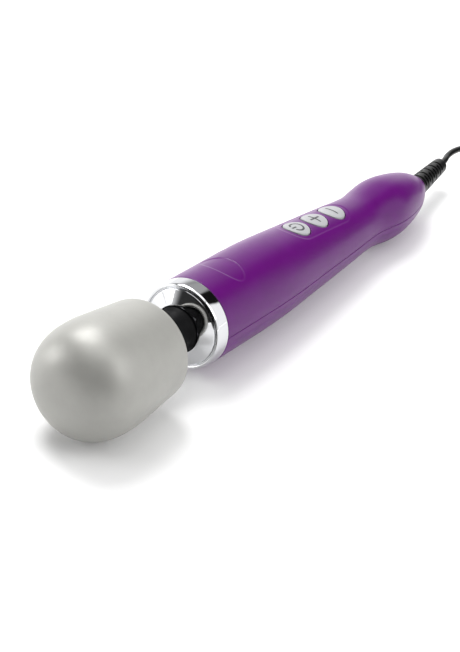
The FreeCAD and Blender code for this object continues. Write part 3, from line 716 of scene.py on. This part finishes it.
# ------------------------------------------------------------------ strain relief
RELIEF_START_Y, RELIEF_END, RELIEF_R, RELIEF_TIP_R, RELIEF_RIBS = 345.0, 43.5, 6.65, 4.8, 9
RELIEF_BEND = math.radians(7.5)
RELIEF_STEP, RIBS_START, RIBS_SPARE = 0.14, 2.0, 9.0
GROOVE_START, GROOVE_END, GROOVE_DEPTH, GROOVE_EDGE = 0.5, 2.0, 1.5, 0.28
TIP_ROUND, TIP_BORE_R = 1.6, 1.88


def add_relief():
    """Ribbed sleeve: full ribs joined by webs that swap sides from groove to groove."""
    def lean(p):
        x, y, z = p
        if y < 0:
            return (x, RELIEF_START_Y + y, z)
        c, s = math.cos(RELIEF_BEND), math.sin(RELIEF_BEND)
        return (x * c - y * s, RELIEF_START_Y + x * s + y * c, z)

    length = RELIEF_END - 0.3
    pitch = (length - RIBS_SPARE) / RELIEF_RIBS

    def radius(y):
        return RELIEF_R - (RELIEF_R - RELIEF_TIP_R) / length * max(y, 0.0)

    rows = []
    stations = [RELIEF_STEP * k for k in range(int((length - 2.4) / RELIEF_STEP))]
    for y in [-2.0] + stations:
        groove, index = 0.0, int((y - RIBS_START) // pitch)
        if 0 <= index < RELIEF_RIBS:
            into = (y - RIBS_START) - index * pitch
            groove = (soft_step(into - GROOVE_START, GROOVE_EDGE)
                      * soft_step(GROOVE_END - into, GROOVE_EDGE))
        web_turn = math.pi / 2 if index % 2 else 0.0
        ring = []
        for j in range(AROUND):
            a = 2 * math.pi * j / AROUND
            web = soft_step(abs(math.cos(a + web_turn)) - 0.93, 0.03)
            r = radius(y) - GROOVE_DEPTH * groove * (1 - web)
            ring.append(lean((r * math.cos(a), y, r * math.sin(a))))
        rows.append(ring)
    tip = radius(length)
    for i in range(0, 91, 10):
        a = math.radians(i)
        y, r = length - TIP_ROUND + TIP_ROUND * math.sin(a), tip - TIP_ROUND + TIP_ROUND * math.cos(a)
        rows.append([lean((u, y, v)) for u, v in circle(r)])
    rows.append([lean((u, length, v)) for u, v in circle(TIP_BORE_R)])
    add_object("relief_sleeve", weld(grid_mesh("relief_sleeve", rows)), "handle",
               MATERIALS["relief_rubber"], ["strain_relief"])


# ------------------------------------------------------------------ floor and light
LIGHT_AWAY = 1.6    # metres from the wand to each soft box


def add_light(name, azimuth, elevation, half_width, half_height, level):
    """Soft box of a given brightness, aimed at the wand; its angles are in degrees."""
    a, e = math.radians(azimuth), math.radians(elevation)
    back = Vector((math.sin(a) * math.cos(e), math.cos(a) * math.cos(e), math.sin(e)))
    light = bpy.data.objects.new(name, bpy.data.lights.new(name, "AREA"))
    bpy.context.scene.collection.objects.link(light)
    light.data.shape = "RECTANGLE"
    light.data.size = 2 * LIGHT_AWAY * math.tan(math.radians(half_width))
    light.data.size_y = 2 * LIGHT_AWAY * math.tan(math.radians(half_height))
    light.data.energy = math.pi * light.data.size * light.data.size_y * level
    light.location = Vector((0, 0, 0.03)) + back * LIGHT_AWAY
    light.rotation_euler = back.to_track_quat("Z", "Y").to_euler()


def add_patch(tree, direction, previous, azimuth, elevation, half_width, half_height, edge, level):
    """Lays a bright or dark patch over the studio so far and returns the new brightness."""
    def math_node(operation, *values):
        node = tree.nodes.new("ShaderNodeMath")
        node.operation = operation
        for socket, value in zip(node.inputs, values):
            if isinstance(value, (int, float)):
                socket.default_value = value
            else:
                tree.links.new(value, socket)
        return node.outputs[0]

    turn = tree.nodes.new("ShaderNodeVectorRotate")
    turn.rotation_type = "EULER_XYZ"
    turn.invert = True
    turn.inputs["Rotation"].default_value = (math.radians(elevation), 0, math.radians(-azimuth))
    tree.links.new(direction, turn.inputs["Vector"])
    split = tree.nodes.new("ShaderNodeSeparateXYZ")
    tree.links.new(turn.outputs["Vector"], split.inputs["Vector"])
    across = math_node("ABSOLUTE", math_node("ARCTAN2", split.outputs["X"], split.outputs["Y"]))
    upward = math_node("ABSOLUTE", math_node("ARCSINE", split.outputs["Z"]))
    masks = []
    for value, half in ((across, half_width), (upward, half_height)):
        span = tree.nodes.new("ShaderNodeMapRange")
        span.interpolation_type = "SMOOTHSTEP"
        span.inputs["From Min"].default_value = math.radians(half + edge)
        span.inputs["From Max"].default_value = math.radians(half - edge)
        tree.links.new(value, span.inputs["Value"])
        masks.append(span.outputs["Result"])
    mask = math_node("MULTIPLY", *masks)
    change = math_node("SUBTRACT", level, previous)
    return math_node("ADD", previous, math_node("MULTIPLY", mask, change))


# each box: azimuth from +Y towards +X, elevation, half width, half height (degrees), brightness
SOFT_BOXES = {
    "key": (-66, 58, 15, 16, 9.5),
    "right": (80, 42, 13, 20, 2.8),
    "card": (-122, 16, 14, 13, 4.5),
}
STUDIO_LEVEL = 0.04    # brightness of the room wherever no patch lies
# each patch: azimuth, elevation, half width, half height, softness of its edge, brightness
STUDIO_PATCHES = [
    (-72, -10, 68, 36, 12, 1.30),
    (0, 88, 24, 24, 10, 2.00),
    (-26, 46, 19, 13, 6, 0.50),
    (64, -4, 33, 50, 2.5, 1.35),
    (150, 14, 36, 30, 12, 0.02),
    (20, 46, 12, 12, 2.5, 0.01),
]


FLOOR_HALF = 4
# the floor's emission is painted light: near the wand it lightens the wand's shadows
GLOW_REACH, GLOW_LEVEL = (0.5, 1.3), (0.08, 0.75)    # metres from the wand, and emission there


def add_studio():
    """Dim room with bright and dark patches, which the camera itself sees as plain white."""
    world = bpy.data.worlds.new("studio")
    bpy.context.scene.world = world
    world.use_nodes = True
    tree = world.node_tree
    coords = tree.nodes.new("ShaderNodeTexCoord")
    level = STUDIO_LEVEL
    for patch in STUDIO_PATCHES:
        level = add_patch(tree, coords.outputs["Generated"], level, *patch)
    rays = tree.nodes.new("ShaderNodeLightPath")
    plain = tree.nodes.new("ShaderNodeMix")
    tree.links.new(rays.outputs["Is Camera Ray"], plain.inputs["Factor"])
    tree.links.new(level, plain.inputs["A"])
    plain.inputs["B"].default_value = 1.0
    tree.links.new(plain.outputs["Result"], tree.nodes["Background"].inputs["Strength"])
    tree.nodes["Background"].inputs["Color"].default_value = (1, 1, 1, 1)
    bpy.context.scene.view_settings.view_transform = "Standard"


def add_floor():
    """Pale floor with painted light: it glows a little near the wand, which lightens the wand's shadows
    on it, and more further out.
    """
    mesh = bpy.data.meshes.new("floor")
    corners = [(x * FLOOR_HALF, y * FLOOR_HALF, 0) for x, y in ((-1, -1), (1, -1), (1, 1), (-1, 1))]
    mesh.from_pydata(corners, [], [(0, 1, 2, 3)])
    floor = bpy.data.objects.new("floor", mesh)
    bpy.context.scene.collection.objects.link(floor)
    paper, tree, shader, coords = new_material("paper", (0.86, 0.86, 0.86), 0.75)
    vary_colour(tree, shader, noise(tree, coords, 60.0), (0.855, 0.855, 0.855), (0.87, 0.87, 0.87))
    # painted light: the floor's glow lightens the wand's shadows near it, and the far floor glows more,
    # so that it meets the white room without an edge
    shader.inputs["Emission Color"].default_value = (1, 1, 1, 1)
    reach = tree.nodes.new("ShaderNodeVectorMath")
    reach.operation = "LENGTH"
    tree.links.new(coords.outputs["Object"], reach.inputs[0])
    glow = tree.nodes.new("ShaderNodeMapRange")
    glow.inputs["From Min"].default_value, glow.inputs["From Max"].default_value = GLOW_REACH
    glow.inputs["To Min"].default_value, glow.inputs["To Max"].default_value = GLOW_LEVEL
    tree.links.new(reach.outputs["Value"], glow.inputs["Value"])
    tree.links.new(glow.outputs["Result"], shader.inputs["Emission Strength"])
    mesh.materials.append(paper)


add_camera()
make_materials()
dress_cad_nodes()
add_cord()
add_head()
add_neck()
add_collar()
add_shells()
add_buttons()
add_relief()
add_studio()
add_floor()
for box_name, box in SOFT_BOXES.items():
    add_light(box_name, *box)
